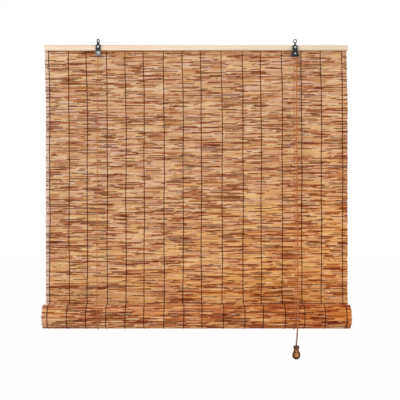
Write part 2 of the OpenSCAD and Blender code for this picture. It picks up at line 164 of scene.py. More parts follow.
def blendColour(tree, factor, first, second, mode="MIX"):
    node = put(tree, "ShaderNodeMix", data_type="RGBA", blend_type=mode)
    feed(tree, node.inputs[0], factor)
    feed(tree, node.inputs[6], first)    # 6, 7 and output 2 are the colour sockets
    feed(tree, node.inputs[7], second)
    return node.outputs[2]


def tint(tree, colour, stainAndShade, share=1.0):
    return blendColour(tree, share, colour, stainAndShade, "MULTIPLY")


def ramp(tree, factor, stops):
    node = put(tree, "ShaderNodeValToRGB", {"Fac": factor})
    spots = node.color_ramp.elements
    while len(spots) < len(stops):
        spots.new(0.5)
    for spot, (place, colour) in zip(spots, stops):
        spot.position = place
        spot.color = colour
    return node.outputs[0]


def startMaterial(name):
    material = bpy.data.materials.new(name)
    material.use_nodes = True
    tree = material.node_tree
    shader = tree.nodes["Principled BSDF"]
    return material, tree, shader


def objectPlace(tree):
    return put(tree, "ShaderNodeTexCoord").outputs["Object"]


def dress(tree, shader, look, colour, roughness, height):
    # relief is the strength and the depth of the fine bumps
    strength, distance = look["relief"]
    relief = put(tree, "ShaderNodeBump", {"Height": height, "Strength": strength, "Distance": distance})
    feed(tree, shader.inputs["Base Color"], colour)
    feed(tree, shader.inputs["Roughness"], roughness)
    feed(tree, shader.inputs["Normal"], relief.outputs[0])
    shader.inputs["Specular IOR Level"].default_value = look["gloss"]


# Reed skin: what differs between the flat mat and the roll
matReedLook = {
    "stops": [
        (0.00, paint(142, 62, 22)), (0.14, paint(182, 104, 54)), (0.32, paint(214, 150, 99)),
        (0.55, paint(232, 189, 155)), (0.80, paint(244, 208, 179)), (1.00, paint(254, 232, 214)),
    ],
    "upperLeft": paint(247, 249, 254), "lowerRight": paint(255, 233, 194), "driftX": 0.5, "driftRow": 1.0,
    "driftFrom": 0.3, "driftTo": 1.0, "seed": 3.0, "rows": 198, "nextSide": 1.0,
    # the seam colour is painted shade between reeds and also the dark of the joints; the stain colour is a
    # band of painted shade beside the seams
    "shadeAndJointDark": paint(80, 18, 4), "stainAndShade": paint(232, 190, 160), "tips": paint(234, 212, 196), "tipShare": 0.8,
    "paleTone": paint(192, 150, 118), "paleToneShare": 0.17,
}
rollReedLook = {
    "stops": [
        (0.00, paint(132, 54, 18)), (0.12, paint(170, 86, 38)), (0.32, paint(199, 124, 73)),
        (0.58, paint(225, 161, 113)), (0.82, paint(248, 202, 164)), (1.00, paint(255, 232, 208)),
    ],
    "upperLeft": paint(250, 252, 255), "lowerRight": paint(234, 196, 142), "driftX": 1.0, "driftRow": 0.0,
    "driftFrom": -0.5, "driftTo": 0.5, "seed": 31.0, "rows": 168, "nextSide": -1.0,
    # the seam colour is painted shade between reeds and also the dark of the joints; the stain colour is a
    # band of painted shade beside the seams
    "shadeAndJointDark": paint(70, 12, 1), "stainAndShade": paint(228, 180, 140), "tips": paint(232, 190, 162), "tipShare": 0.5,
    "paleTone": paint(178, 116, 82), "paleToneShare": 0.06,
}

# What all reeds share. Rates are per metre, and apart keeps the patterns of neighbouring reeds apart
reedSurface = {"rough": (0.5, 0.7), "relief": (0.35, 0.0005), "gloss": 0.12}
reedPatches = {"rate": 7.0, "apart": 0.16}
reedFibres = {
    "rate": 34.0, "apart": 9.7, "round": 2.6, "detail": 5.0, "roughness": 0.65, "share": 0.7,
    "stops": [(0.25, paint(178, 160, 148)), (0.5, paint(252, 248, 244)), (0.75, paint(255, 255, 255))],
}


def readReed(tree, look):
    place = objectPlace(tree)
    x = axesOf(tree, place)["X"]
    skin = put(tree, "ShaderNodeAttribute", attribute_name="reedSkin").outputs["Vector"]
    outwards, over, number = axesOf(tree, skin)
    own = put(tree, "ShaderNodeTexWhiteNoise", {"W": number}, noise_dimensions="1D").outputs["Value"]
    patchAt = triple(tree, times(tree, x, reedPatches["rate"]), times(tree, number, reedPatches["apart"]),
                     look["seed"])
    turned = times(tree, outwards, reedFibres["round"])
    fibreAt = triple(tree, times(tree, x, reedFibres["rate"]),
                     timesPlus(tree, number, reedFibres["apart"], turned),
                     times(tree, over, reedFibres["round"]))
    fibre = noise(tree, fibreAt, detail=reedFibres["detail"], roughness=reedFibres["roughness"])
    return {"place": place, "x": x, "over": over, "number": number, "own": own,
            "patch": noise(tree, patchAt), "fibre": fibre}


# Lengths of one tone, whose ends slant across the reed
reedTones = {"rate": 21.0, "slant": 0.08, "apart": 3.71, "cell": 0.76, "own": 0.1, "patch": 0.22,
             "split": 0.74}
reedHues = {
    "cell": 0.56, "patch": 0.26, "tone": 0.28,
    "stops": [(0.1, paint(224, 200, 214)), (0.36, paint(252, 243, 243)), (0.6, paint(255, 253, 234)),
              (0.9, paint(254, 246, 196))],
}


def toneReed(tree, reed, look):
    slant = times(tree, reed["over"], reedTones["slant"])
    cellAt = triple(tree, timesPlus(tree, reed["x"], reedTones["rate"], slant),
                    timesPlus(tree, reed["number"], reedTones["apart"], look["seed"]))
    cells = put(tree, "ShaderNodeTexVoronoi", {"Vector": cellAt, "Scale": 1.0}, voronoi_dimensions="2D")
    cellParts = put(tree, "ShaderNodeSeparateColor", {"Color": cells.outputs["Color"]}).outputs
    cellTone, cellHue, cellDepth = cellParts
    tone = timesPlus(tree, cellTone, reedTones["cell"], times(tree, reed["own"], reedTones["own"]))
    tone = plus(tree, tone, overNoise(tree, reed["patch"], 0.0, reedTones["patch"]))
    split = times(tree, minus(tree, cellDepth, 0.5), reedTones["split"])    # upper and lower half differ
    tone = timesPlus(tree, split, reed["over"], tone)
    # dark lengths lean to mauve and pale ones to straw
    hue = timesPlus(tree, cellHue, reedHues["cell"], overNoise(tree, reed["patch"], 0.0, reedHues["patch"]))
    hue = timesPlus(tree, tone, reedHues["tone"], hue)
    colour = tint(tree, ramp(tree, tone, look["stops"]), ramp(tree, hue, reedHues["stops"]))
    colour = tint(tree, colour, ramp(tree, reed["fibre"], reedFibres["stops"]), reedFibres["share"])
    return colour, cellDepth


# Paler at the upper left and warmer towards the lower right
reedTips = {"from": -0.48, "to": -0.494}    # paler outside the left thread


def driftReed(tree, reed, look, colour):
    aside = times(tree, reed["x"], look["driftX"])
    drift = timesPlus(tree, reed["number"], look["driftRow"] / look["rows"], aside)
    warmth = remap(tree, drift, look["driftFrom"], look["driftTo"])
    colour = tint(tree, colour, blendColour(tree, warmth, look["upperLeft"], look["lowerRight"]))
    paleTone = remap(tree, warmth, 0.0, 1.0, look["paleToneShare"], 0.0)
    colour = blendColour(tree, paleTone, colour, look["paleTone"])
    tip = remap(tree, reed["x"], reedTips["from"], reedTips["to"], 0.0, look["tipShare"])
    return blendColour(tree, tip, colour, look["tips"])


# Dark seams, painted shade in the gaps between reeds, with a softer band of painted shade beside them: both
# reeds at a seam share its number. They gather in dark patches and at the mat's two ends
seamShades = {"rate": 11.5, "apart": 5.17, "seed": 20.0, "edge": (0.55, 0.565), "gather": (0.045, -0.035),
             "endFrom": 0.484, "endTo": 0.493, "endGather": 0.03, "shadeBandSpan": (0.2, 0.45),
             "coreSpan": (0.36, 0.52), "depth": (0.84, 1.0)}


def paintSeamShade(tree, reed, look, colour, cellDepth):
    side = times(tree, sums(tree, "SIGN", reed["over"]), 0.5 * look["nextSide"])
    seamAt = triple(tree, times(tree, reed["x"], seamShades["rate"]),
                    times(tree, plus(tree, reed["number"], side), seamShades["apart"]),
                    look["seed"] + seamShades["seed"])
    atEnds = remap(tree, absolute(tree, reed["x"]), seamShades["endFrom"], seamShades["endTo"],
                   0.0, seamShades["endGather"])
    gather = plus(tree, atEnds, overNoise(tree, reed["patch"], *seamShades["gather"]))
    shadeAndJointDark = remap(tree, plus(tree, noise(tree, seamAt), gather), *seamShades["edge"])
    fromMiddle = absolute(tree, reed["over"])
    # a softer band of painted shade beside each seam
    shadeBand = times(tree, shadeAndJointDark, remap(tree, fromMiddle, *seamShades["shadeBandSpan"]))
    colour = blendColour(tree, shadeBand, colour, tint(tree, colour, look["stainAndShade"]))
    # the seam itself: painted shade where two reeds meet
    shadeAndJointDark = times(tree, shadeAndJointDark, remap(tree, fromMiddle, *seamShades["coreSpan"]))
    shadeAndJointDark = times(tree, shadeAndJointDark, remap(tree, cellDepth, 0.0, 1.0, *seamShades["depth"]))
    return blendColour(tree, shadeAndJointDark, colour, look["shadeAndJointDark"])


# Painted highlights: pale slivers on the upper side of some reeds
reedGlints = {"rate": 16.0, "apart": 6.3, "seed": 40.0, "edge": (0.62, 0.65), "up": 0.35, "span": (0.2, 0.3),
               "share": 0.7, "glintColour": paint(252, 226, 194)}


def paintGlints(tree, reed, look, colour):
    glintAt = triple(tree, times(tree, reed["x"], reedGlints["rate"]),
                      times(tree, reed["number"], reedGlints["apart"]), look["seed"] + reedGlints["seed"])
    glint = remap(tree, noise(tree, glintAt), *reedGlints["edge"])
    fromLine = absolute(tree, plus(tree, reed["over"], reedGlints["up"]))
    glint = times(tree, glint, remap(tree, fromLine, *reedGlints["span"], 1.0, 0.0))
    return blendColour(tree, times(tree, glint, reedGlints["share"]), colour, reedGlints["glintColour"])


# Joints: a dark ring every span or so, at a place of its own on each reed
reedJoints = {"rate": 4.2, "shift": 5.3, "span": (0.004, 0.012), "share": 0.35, "rise": 0.6}


def jointOnReed(tree, reed):
    onReed = times(tree, reed["x"], reedJoints["rate"])
    along = sums(tree, "FRACT", timesPlus(tree, reed["own"], reedJoints["shift"], onReed))
    return remap(tree, absolute(tree, minus(tree, along, 0.5)), *reedJoints["span"], 1.0, 0.0)


# Cut ends that face along the blind
reedCuts = {"facing": 0.8, "speckRate": 2600.0, "rim": paint(226, 190, 146), "heart": paint(150, 104, 66)}


def cutReed(tree, reed, colour):
    facing = put(tree, "ShaderNodeNewGeometry").outputs["True Normal"]
    cut = sums(tree, "GREATER_THAN", absolute(tree, axesOf(tree, facing)["X"]), reedCuts["facing"])
    speck = noise(tree, reed["place"], scale=reedCuts["speckRate"])
    return blendColour(tree, cut, colour, blendColour(tree, speck, reedCuts["heart"], reedCuts["rim"]))


def reedMaterial(name, look):
    material, tree, shader = startMaterial(name)
    reed = readReed(tree, look)
    colour, cellDepth = toneReed(tree, reed, look)
    colour = driftReed(tree, reed, look, colour)
    colour = paintSeamShade(tree, reed, look, colour, cellDepth)
    # pale slivers are painted highlights
    colour = paintGlints(tree, reed, look, colour)
    joint = jointOnReed(tree, reed)
    # the joints take the same dark colour as the painted seam shade
    colour = blendColour(tree, times(tree, joint, reedJoints["share"]), colour, look["shadeAndJointDark"])
    colour = cutReed(tree, reed, colour)
    roughness = overNoise(tree, reed["fibre"], *reedSurface["rough"])
    height = timesPlus(tree, joint, reedJoints["rise"], reed["fibre"])
    dress(tree, shader, reedSurface, colour, roughness, height)
    return material


# Dark binding yarn
yarnLook = {
    "stops": [(0.36, paint(68, 20, 3)), (0.82, paint(114, 50, 14))],
    "strandRates": (2200.0, 700.0, 700.0), "strandDetail": 3.0, "strandShare": 0.7, "wornRate": 24.0,
    "wearAndLightShare": 0.4, "rough": (0.78, 0.94), "relief": (0.5, 0.0003), "gloss": 0.02,
}


def yarnMaterial(name, look):
    material, tree, shader = startMaterial(name)
    place = objectPlace(tree)
    strandAt = stretch(tree, axesOf(tree, place), look["strandRates"])
    strands = noise(tree, strandAt, detail=look["strandDetail"])
    wearAndLight = noise(tree, place, scale=look["wornRate"])
    tone = timesPlus(tree, strands, look["strandShare"], times(tree, wearAndLight, look["wearAndLightShare"]))
    roughness = overNoise(tree, strands, *look["rough"])
    dress(tree, shader, look, ramp(tree, tone, look["stops"]), roughness, strands)
    return material


# Terracotta cord: fibres follow the twist, on the cord's own wrap map
cordLook = {
    # the first stop is painted shade in the grooves between strands
    "stops": [(0.0, paint(142, 68, 30)), (0.45, paint(218, 127, 71)), (1.0, paint(236, 157, 100))],
    "fibreStops": [(0.3, paint(178, 160, 150)), (0.7, paint(255, 252, 248))],
    "fibreRates": (16.0, 2.2), "fibreDetail": 3.0, "fibreShare": 0.6,
    "lowTint": paint(150, 92, 28), "lowTintFrom": -0.905, "lowTintTo": -0.945,
    "rough": (0.66, 0.86), "relief": (0.35, 0.0002), "gloss": 0.1,
}


def cordMaterial(name, look):
    material, tree, shader = startMaterial(name)
    wrap = put(tree, "ShaderNodeUVMap", uv_map="cordWrap").outputs[0]
    around, along = axesOf(tree, wrap)[:2]
    # strand waves: 0 in the grooves between strands and 1 on their backs; the darker colour in the grooves is
    # painted shade
    lay = times(tree, minus(tree, around, along), 2 * math.pi * cordSizes["strands"])
    strand = timesPlus(tree, sums(tree, "COSINE", lay), 0.5, 0.5)
    fibreAt = stretch(tree, (plus(tree, around, along), along), look["fibreRates"])
    fibre = noise(tree, fibreAt, detail=look["fibreDetail"])
    colour = ramp(tree, strand, look["stops"])
    colour = tint(tree, colour, ramp(tree, fibre, look["fibreStops"]), look["fibreShare"])
    # the cord is darker towards its pull end
    z = axesOf(tree, objectPlace(tree))["Z"]
    darkerDown = remap(tree, z, look["lowTintFrom"], look["lowTintTo"])
    colour = blendColour(tree, darkerDown, colour, tint(tree, colour, look["lowTint"]))
    dress(tree, shader, look, colour, overNoise(tree, fibre, *look["rough"]), fibre)
    return material


# Planed pale softwood, grain along the batten, its right half a little darker
battenLook = {
    "early": paint(245, 226, 203), "late": paint(219, 192, 157), "lateTo": 0.36, "earlyFrom": 0.52,
    "ringRates": (1.6, 130.0, 210.0), "ringDetail": 3.0, "ringRoughness": 0.55,
    "bendRate": 2.1, "bendSeed": 5.0, "bend": 2.4,
    "poreRates": (26.0, 1700.0, 1700.0), "poreSpan": (0.56, 0.8), "poreShare": 0.3, "poreRise": 0.5,
    "shade": paint(231, 230, 224), "shadeFrom": -0.3, "shadeTo": 0.45, "shadeShare": 0.9,
    "rough": (0.5, 0.66), "relief": (0.2, 0.0004), "gloss": 0.3,
}


def battenMaterial(name, look):
    material, tree, shader = startMaterial(name)
    x, y, z = axesOf(tree, objectPlace(tree))
    bend = noise(tree, triple(tree, times(tree, x, look["bendRate"]), 0.0, look["bendSeed"]))
    alongRate, deepRate, upRate = look["ringRates"]
    ringAt = triple(tree, times(tree, x, alongRate), times(tree, y, deepRate),
                    timesPlus(tree, z, upRate, times(tree, bend, look["bend"])))
    rings = noise(tree, ringAt, detail=look["ringDetail"], roughness=look["ringRoughness"])
    pores = noise(tree, stretch(tree, (x, y, z), look["poreRates"]))
    colour = ramp(tree, rings, [(look["lateTo"], look["late"]), (look["earlyFrom"], look["early"])])
    pored = remap(tree, pores, *look["poreSpan"], 0.0, look["poreShare"])
    colour = blendColour(tree, pored, colour, look["late"])
    shaded = remap(tree, x, look["shadeFrom"], look["shadeTo"], 0.0, look["shadeShare"])
    colour = blendColour(tree, shaded, colour, tint(tree, colour, look["shade"]))
    grain = timesPlus(tree, pores, look["poreRise"], rings)
    dress(tree, shader, look, colour, overNoise(tree, rings, *look["rough"]), grain)
    return material


# Turned and stained wood of the pull: a painted highlight lightens the faces that look to the front and back,
# and it is dark under the collar and on the foot of the bulb, partly stain and partly painted shade
tasselLook = {
    "stops": [(0.28, paint(48, 20, 4)), (0.66, paint(126, 72, 30))],
    "grainRates": (420.0, 420.0, 46.0), "grainDetail": 4.0, "grainRoughness": 0.6,
    "latheRate": 1500.0, "latheDetail": 1.0, "latheRise": 0.5,
    # the worn colour is a painted highlight on the faces that look to the front and back
    "wearAndLight": paint(220, 166, 116), "wearAndLightShare": 0.75, "facingSpan": (0.72, 0.98), "highlightGrain": (0.3, 0.6),
    # the stain colour and the ramp down the pull are partly stain and partly painted shade, under the collar
    # and on the foot
    "highlightLeast": 0.5, "stainAndShade": paint(22, 8, 1),
    "stainAndShadeDown": [(0.0, 0.35), (0.16, 0.75), (0.3, 0.2), (0.68, 0.0), (0.88, 0.75), (1.0, 1.0)],
    "rough": (0.46, 0.62), "relief": (0.18, 0.0003), "gloss": 0.06,
}


def tasselMaterial(name, look, topZ, height):
    material, tree, shader = startMaterial(name)
    x, y, z = axesOf(tree, objectPlace(tree))
    grainAt = stretch(tree, (x, y, z), look["grainRates"])
    grain = noise(tree, grainAt, detail=look["grainDetail"], roughness=look["grainRoughness"])
    latheAt = triple(tree, 0.0, 0.0, times(tree, z, look["latheRate"]))
    lathe = noise(tree, latheAt, detail=look["latheDetail"])
    normal = put(tree, "ShaderNodeNewGeometry").outputs["Normal"]
    # painted highlight: lighter where the surface faces front and back, broken up by the grain
    facingFrontAndBack = remap(tree, absolute(tree, axesOf(tree, normal)["Y"]), *look["facingSpan"])
    wearAndLight = times(tree, facingFrontAndBack, remap(tree, grain, *look["highlightGrain"], look["highlightLeast"], 1.0))
    colour = ramp(tree, grain, look["stops"])
    colour = blendColour(tree, times(tree, wearAndLight, look["wearAndLightShare"]), colour, look["wearAndLight"])
    # darker under the collar and on the foot: partly stain, partly painted shade
    down = sums(tree, "DIVIDE", minus(tree, topZ, z), height)
    stainAndShade = ramp(tree, down, [(at, (share, share, share, 1.0)) for at, share in look["stainAndShadeDown"]])
    colour = blendColour(tree, stainAndShade, colour, look["stainAndShade"])
    relief = timesPlus(tree, lathe, look["latheRise"], grain)
    dress(tree, shader, look, colour, overNoise(tree, grain, *look["rough"]), relief)
    return material


# Black lacquered sheet with a faint orange-peel and rubbed patches, rubbed through below a given height
lacquerLook = {
    "black": paint(16, 16, 18), "rubbed": paint(46, 46, 50), "bare": paint(120, 114, 122), "peelRate": 900.0,
    "rubRate": 210.0, "rubDetail": 5.0, "rubRoughness": 0.7, "rubbedSpan": (0.56, 0.78),
    "bareSpan": (0.3, 0.55), "bareLeast": 0.6, "bareMetal": 0.6,
    "roughSpan": (0.3, 0.8), "rough": (0.42, 0.6), "relief": (0.12, 0.0002), "gloss": 0.3,
}


def lacquerMaterial(name, look, bareFrom, bareTo):
    material, tree, shader = startMaterial(name)
    place = objectPlace(tree)
    peel = noise(tree, place, scale=look["peelRate"])
    rubs = noise(tree, place, scale=look["rubRate"], detail=look["rubDetail"], roughness=look["rubRoughness"])
    bare = times(tree, remap(tree, axesOf(tree, place)["Z"], bareFrom, bareTo),
                 remap(tree, rubs, *look["bareSpan"], look["bareLeast"], 1.0))
    colour = blendColour(tree, remap(tree, rubs, *look["rubbedSpan"]), look["black"], look["rubbed"])
    colour = blendColour(tree, bare, colour, look["bare"])
    dress(tree, shader, look, colour, remap(tree, rubs, *look["roughSpan"], *look["rough"]), peel)
    feed(tree, shader.inputs["Metallic"], times(tree, bare, look["bareMetal"]))
    return material


# Zinc plated wire, rivets and wheels
zincLook = {
    "stops": [(0.3, paint(128, 129, 131)), (0.6, paint(176, 177, 176))],
    "cloudRate": 330.0, "cloudDetail": 4.0, "cloudRoughness": 0.6, "scratchRates": (260.0, 900.0, 2600.0),
    "rough": (0.5, 0.32), "relief": (0.1, 0.0001), "gloss": 0.5,
}


def zincMaterial(name, look):
    material, tree, shader = startMaterial(name)
    place = objectPlace(tree)
    cloud = noise(tree, place, scale=look["cloudRate"], detail=look["cloudDetail"],
                  roughness=look["cloudRoughness"])
    scratch = noise(tree, stretch(tree, axesOf(tree, place), look["scratchRates"]))
    roughness = overNoise(tree, cloud, *look["rough"])
    dress(tree, shader, look, ramp(tree, cloud, look["stops"]), roughness, scratch)
    shader.inputs["Metallic"].default_value = 1.0
    return material


# Cords come first: their routes are the ones that the solids follow
cordSizes = {"radius": 0.0012, "sides": 12, "ringStep": 0.0016, "fewestSteps": 6, "strands": 3,
             "grooveDepth": 0.0002, "twist": 0.01}
tailRoutes = {
    "leftTailUpper": [
        (0.3296, -0.02632, -0.0211), (0.3295, -0.0282, -0.045), (0.3288, -0.042, -0.23),
        (0.328, -0.058, -0.445), (0.3272, -0.074, -0.66), (0.3266, -0.0872, -0.835),
        (0.3264, -0.0905, -0.878)],
    "leftTailLower": [
        (0.3264, -0.0905, -0.8782), (0.326, -0.0905, -0.9), (0.325, -0.0905, -0.925),
        (0.3236, -0.0905, -0.95), (0.322, -0.0905, -0.968), (0.32175, -0.0905, -0.98),
        (0.32175, -0.0905, -0.998)],
    "rightTailUpper": [
        (0.3296, -0.02972, -0.0209), (0.3296, -0.0315, -0.045), (0.3297, -0.0448, -0.23),
        (0.3298, -0.0599, -0.445), (0.3296, -0.075, -0.66), (0.3291, -0.0874, -0.835),
        (0.3289, -0.0905, -0.878)],
    "rightTailLower": [
        (0.3289, -0.0905, -0.8782), (0.3285, -0.0905, -0.9), (0.3275, -0.0905, -0.925),
        (0.3261, -0.0905, -0.95), (0.3245, -0.0905, -0.968), (0.32425, -0.0905, -0.98),
        (0.32425, -0.0905, -0.998)],
}


def addObject(name, mesh, finish=None):
    piece = bpy.data.objects.new(name, mesh)
    scene.collection.objects.link(piece)
    if finish is not None:
        mesh.materials.append(finish)
    return piece


def smoothRoute(points, step):
    knots = [Vector(p) for p in points]
    at = [0.0]
    for a, b in zip(knots, knots[1:]):
        at.append(at[-1] + (b - a).length)
    last = len(knots) - 1
    slopes = []
    for i in range(len(knots)):
        before, after = max(i - 1, 0), min(i + 1, last)
        slopes.append((knots[after] - knots[before]) / (at[after] - at[before]))
    route = []
    for i in range(last):
        span = at[i + 1] - at[i]
        count = max(1, math.ceil(span / step))
        for k in range(count):
            t = k / count
            place = knots[i] * (2 * t ** 3 - 3 * t ** 2 + 1)
            place += slopes[i] * span * (t ** 3 - 2 * t ** 2 + t)
            place += knots[i + 1] * (3 * t ** 2 - 2 * t ** 3)
            place += slopes[i + 1] * span * (t ** 3 - t ** 2)
            route.append(place)
    return route + [knots[-1]]


def arcRoute(centre, radius, fromAngle, sweep, step, plane):
    # angles run from the plane's first axis towards its second
    first, second = (Vector(axis) for axis in plane)
    count = max(cordSizes["fewestSteps"], math.ceil(abs(math.radians(sweep)) * radius / step))
    route = []
    for k in range(count + 1):
        angle = math.radians(fromAngle + sweep * k / count)
        route.append(Vector(centre) + radius * (math.cos(angle) * first + math.sin(angle) * second))
    return route


def sweepCords(name, routes):
    points, faces, wraps = [], [], []
    sizes = cordSizes
    sides = sizes["sides"]
    for route in routes:
        firstPoint = len(points)
        travelled = 0.0
        heading = (route[1] - route[0]).normalized()
        aside = heading.orthogonal().normalized()
        ringTurns = []
        for i, centre in enumerate(route):
            newHeading = (route[min(i + 1, len(route) - 1)] - route[max(i - 1, 0)]).normalized()
            aside.rotate(heading.rotation_difference(newHeading))
            heading = newHeading
            beside = heading.cross(aside)
            if i:
                travelled += (centre - route[i - 1]).length
            turn = travelled / sizes["twist"]
            ringTurns.append(turn)
            for s in range(sides):
                around = s / sides
                lobe = math.cos(2 * math.pi * sizes["strands"] * (around - turn))
                radius = sizes["radius"] - sizes["grooveDepth"] * (1 - lobe) / 2
                angle = 2 * math.pi * around
                points.append(centre + radius * (math.cos(angle) * aside + math.sin(angle) * beside))
        for i in range(len(route) - 1):
            for s in range(sides):
                a = firstPoint + i * sides
                n = (s + 1) % sides
                faces.append((a + s, a + n, a + sides + n, a + sides + s))
                low, high = ringTurns[i], ringTurns[i + 1]
                left, right = s / sides, (s + 1) / sides
                wraps += [(left, low), (right, low), (right, high), (left, high)]
        endRing = firstPoint + (len(route) - 1) * sides
        faces.append(tuple(reversed(range(firstPoint, firstPoint + sides))))
        faces.append(tuple(range(endRing, endRing + sides)))
        wraps += [(s / sides, 0.0) for s in range(2 * sides)]
    mesh = bpy.data.meshes.new(name)
    mesh.from_pydata(points, [], faces)
    mesh.polygons.foreach_set("use_smooth", [len(face) == 4 for face in faces])
    wrapMap = mesh.uv_layers.new(name="cordWrap")
    wrapMap.data.foreach_set("uv", [value for pair in wraps for value in pair])
    return addObject(name, mesh, cordFinish)


def middleOf(node):
    low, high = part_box(node)
    return (low + high) / 2


cordFinish = cordMaterial("twistedCord", cordLook)
rollJoint = next(joint for joint in frame["joints"] if joint["name"] == "roll_turn")
rollAxis = Vector(rollJoint["pos_m"])


def squashUp(piece):
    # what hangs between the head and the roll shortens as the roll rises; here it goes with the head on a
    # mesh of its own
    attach(piece, "head")
    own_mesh(piece)


# Sling, front run and back run of each lift cord
slingSizes = {"middle": (-0.0485, -0.881), "radius": 0.0422, "past": 4.2, "upright": 0.0256}
leftLift = {"x": -0.319, "top": (-0.324, -0.0272, -0.01845)}
rightLift = {"x": 0.32, "top": (0.3216, -0.0297, -0.0209)}
backLift = {"roll": (-0.0063, -0.881), "head": (-0.004, -0.02305)}
depthAndUp = ((0, 1, 0), (0, 0, 1))
# the lowest rings of what hangs in front go up with the roll, clear of it
uprightRings = round(slingSizes["upright"] / cordSizes["ringStep"])


def makeLiftCord(side, lift):
    step = cordSizes["ringStep"]
    middle = (lift["x"], *slingSizes["middle"])
    sling = arcRoute(middle, slingSizes["radius"], 0, -180 - slingSizes["past"], step, depthAndUp)
    run = smoothRoute([sling[-1], lift["top"]], step)
    slingPiece = sweepCords(side + "CordSling", [sling + run[1:uprightRings + 1]])
    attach(slingPiece, "cord_cradle")
    front = sweepCords(side + "CordFront", [run[uprightRings:]])
    squashUp(front)
    backEnds = [(lift["x"], *backLift["roll"]), (lift["x"], *backLift["head"])]
    back = sweepCords(side + "CordBack", [smoothRoute(backEnds, step)])
    squashUp(back)
    for piece, part in ((slingPiece, "sling"), (front, "front"), (back, "back")):
        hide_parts(side + "_cord_" + part)


makeLiftCord("left", leftLift)
makeLiftCord("right", rightLift)

# Knot and loop that tie each lift cord to its screw eye behind the mat
tieSizes = {"loop": 0.0024, "past": 14.6, "step": 0.0005, "wrapRadius": 0.0014, "wraps": 2.6,
            "wrapSteps": 44, "wrapRise": 0.00095, "knotUp": -0.0038}


def makeTie(side, lift):
    sizes = tieSizes
    y = middleOf(side + "_cord_tie").y
    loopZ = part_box(side + "_cord_tie")[1].z - sizes["loop"] - cordSizes["radius"]
    loop = arcRoute((lift["x"], y, loopZ), sizes["loop"], -sizes["past"], 180 + 2 * sizes["past"],
                    sizes["step"], depthAndUp)
    wraps = []
    for k in range(sizes["wrapSteps"] + 1):
        share = k / sizes["wrapSteps"]
        turn = 2 * math.pi * sizes["wraps"] * share
        rise = (share - 0.5) * sizes["wrapRise"] * sizes["wraps"]
        wraps.append(Vector((lift["x"] + sizes["wrapRadius"] * math.cos(turn),
                             y + sizes["wrapRadius"] * math.sin(turn), loopZ + sizes["knotUp"] + rise)))
    piece = sweepCords(side + "CordTie", [loop, wraps])
    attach(piece, "head")
    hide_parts(side + "_cord_tie")


makeTie("left", leftLift)
makeTie("right", rightLift)

# Over the sheaves: the left cord crosses to the lock, the right one turns down there
sheaveTurns = {"radius": 0.004, "step": 0.0008, "left": (-0.32, -0.0272, -0.0182),
               "lockRear": (0.3256, -0.0263, -0.0208), "lockFront": (0.3256, -0.0297, -0.0208)}
sideAndUp = ((1, 0, 0), (0, 0, 1))


def overSheave(place, fromAngle, sweep):
    turns = sheaveTurns
    return arcRoute(turns[place], turns["radius"], fromAngle, sweep, turns["step"], sideAndUp)


def makeSheaveCords():
    overLeft = overSheave("left", 180, -90)
    overLock = overSheave("lockRear", 90, -90)
    across = smoothRoute([overLeft[-1], overLock[0]], cordSizes["ringStep"])
    cross = sweepCords("leftCordCross", [overLeft[:-1] + across + overLock[1:]])
    turn = sweepCords("rightCordTurn", [overSheave("lockFront", 180, -180)])
    for piece, node in ((cross, "left_cord_cross"), (turn, "right_cord_turn")):
        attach(piece, "head")
        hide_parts(node)


makeSheaveCords()


def makeTail(side):
    upperRoute = smoothRoute(tailRoutes[side + "TailUpper"], cordSizes["ringStep"])
    lowerRoute = smoothRoute(tailRoutes[side + "TailLower"], cordSizes["ringStep"])
    lowerRoute = upperRoute[-uprightRings - 1:-1] + lowerRoute
    upperRoute = upperRoute[:-uprightRings]
    upper = sweepCords(side + "TailUpper", [upperRoute])
    squashUp(upper)
    lower = sweepCords(side + "TailLower", [lowerRoute])
    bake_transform(lower)
    for piece, node in ((upper, "_tail_upper"), (lower, "_tail_lower")):
        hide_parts(side + node)
    return {"upper": upper, "lower": lower, "upperRoute": upperRoute, "lowerRoute": lowerRoute}


tails = {side: makeTail(side) for side in ("left", "right")}
print("cords swept")


# Geometry Nodes helpers
socketKinds = {"geometry": "NodeSocketGeometry", "size": "NodeSocketFloat", "count": "NodeSocketInt",
               "finish": "NodeSocketMaterial"}


def startTree(name, inputs):
    tree = bpy.data.node_groups.new(name, "GeometryNodeTree")
    tree.is_modifier = True
    keys = {}
    for label, kind in inputs:
        socket = tree.interface.new_socket(label, in_out="INPUT", socket_type=socketKinds[kind])
        keys[label] = socket.identifier
    tree.interface.new_socket("Geometry", in_out="OUTPUT", socket_type=socketKinds["geometry"])
    given = put(tree, "NodeGroupInput").outputs
    return tree, given, keys


def endTree(tree, geometry, finish):
    real = put(tree, "GeometryNodeRealizeInstances", {"Geometry": geometry}).outputs[0]
    dressed = put(tree, "GeometryNodeSetMaterial", {"Geometry": real, "Material": finish}).outputs[0]
    put(tree, "NodeGroupOutput", {"Geometry": dressed})


def growPiece(name, base, tree, keys, values):
    # runs the tree over the base mesh and keeps the result as a plain mesh
    seedling = addObject(name + "Base", base)
    modifier = seedling.modifiers.new("grow", "NODES")
    modifier.node_group = tree
    for label, value in values.items():
        modifier[keys[label]] = value
    depsgraph = bpy.context.evaluated_depsgraph_get()
    mesh = bpy.data.meshes.new_from_object(seedling.evaluated_get(depsgraph), depsgraph=depsgraph)
    mesh.name = name
    seedling.modifiers.remove(modifier)
    bpy.data.objects.remove(seedling)
    bpy.data.meshes.remove(base)
    return addObject(name, mesh)


# Tree: one long reed on each point, wavy, thick and thin, with uneven ends
reedWaves = {"rate": 6.0, "apart": 3.7, "seedStep": 13.7, "detail": 1.0}
reedGirths = {"rate": 4.0, "apart": 5.1, "seedShift": 9.0, "detail": 1.0}


def pointValue(tree, name):
    return put(tree, "GeometryNodeInputNamedAttribute", {"Name": name}, data_type="FLOAT").outputs[0]


